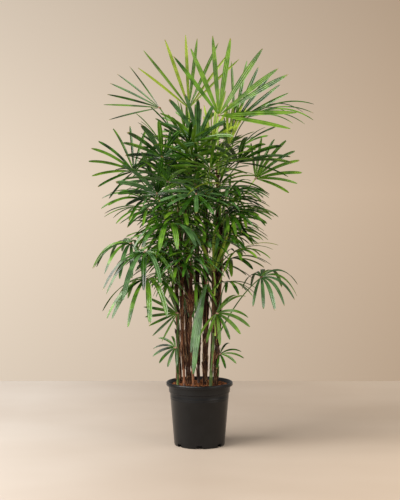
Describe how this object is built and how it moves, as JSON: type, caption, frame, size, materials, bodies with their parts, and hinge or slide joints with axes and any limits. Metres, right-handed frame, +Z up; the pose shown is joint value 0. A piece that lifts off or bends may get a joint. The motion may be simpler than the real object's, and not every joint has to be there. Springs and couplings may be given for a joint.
{
  "type": "potted lady palm",
  "caption": "Indoor lady palm: a clump of upright fibrous canes with fan-shaped fronds of long blunt leaflets, in a round black nursery pot.",
  "frame": {"origin": "middle of the pot's flat underside, on the floor", "axes": "+Z up along the pot's axis, +X to the right side of the plant, -Y to its front"},
  "size_m": [0.8168, 0.6309, 1.4938],
  "materials": {
    "pot_plastic": "satin",
    "potting_mix": "rough",
    "cane_fibre": "rough",
    "leaf_young": "satin",
    "leaf_green": "satin",
    "leaf_old": "satin",
    "leaf_dark": "satin"
  },
  "bodies": {
    "root": {"pot": "pot_plastic", "soil": "potting_mix", "cane_01": "cane_fibre", "cane_02": "cane_fibre", "cane_03": "cane_fibre", "cane_04": "cane_fibre", "cane_05": "cane_fibre", "cane_06": "cane_fibre", "cane_07": "cane_fibre", "cane_08": "cane_fibre", "cane_09": "cane_fibre", "cane_10": "cane_fibre", "cane_11": "cane_fibre", "cane_12": "cane_fibre", "cane_13": "cane_fibre", "frond_top_right": "leaf_young", "frond_top_left": "leaf_young", "frond_top_back": "leaf_young", "frond_right_top": "leaf_green", "frond_left_top": "leaf_green", "frond_crown_front": "leaf_green", "frond_right_upper": "leaf_green", "frond_right_fan": "leaf_green", "frond_right_inner": "leaf_green", "frond_left_upper": "leaf_green", "frond_left_far": "leaf_green", "frond_left_front": "leaf_green", "frond_centre_front": "leaf_green", "frond_left_mid": "leaf_green", "frond_front_hanging": "leaf_old", "frond_right_mid": "leaf_green", "frond_left_low_1": "leaf_old", "frond_left_low_2": "leaf_old", "frond_left_low_3": "leaf_old", "frond_right_low_1": "leaf_green", "frond_right_low_2": "leaf_old", "frond_right_low_3": "leaf_green", "frond_left_small": "leaf_young", "frond_centre_low": "leaf_green", "frond_centre_new": "leaf_young", "frond_centre_hanging": "leaf_old", "frond_left_tuft": "leaf_green", "frond_right_tuft": "leaf_green", "frond_mid_right": "leaf_green", "frond_left_inner": "leaf_green", "frond_right_outer": "leaf_green", "frond_right_side": "leaf_green", "frond_top_new": "leaf_young", "frond_left_edge": "leaf_green", "whorl_02": "leaf_dark", "whorl_03": "leaf_dark", "whorl_04": "leaf_dark", "whorl_05": "leaf_dark", "whorl_06": "leaf_dark", "whorl_07": "leaf_dark", "whorl_09": "leaf_dark", "whorl_10": "leaf_dark", "whorl_11": "leaf_dark", "whorl_12": "leaf_dark", "whorl_13": "leaf_dark"}
  },
  "joints": []
}
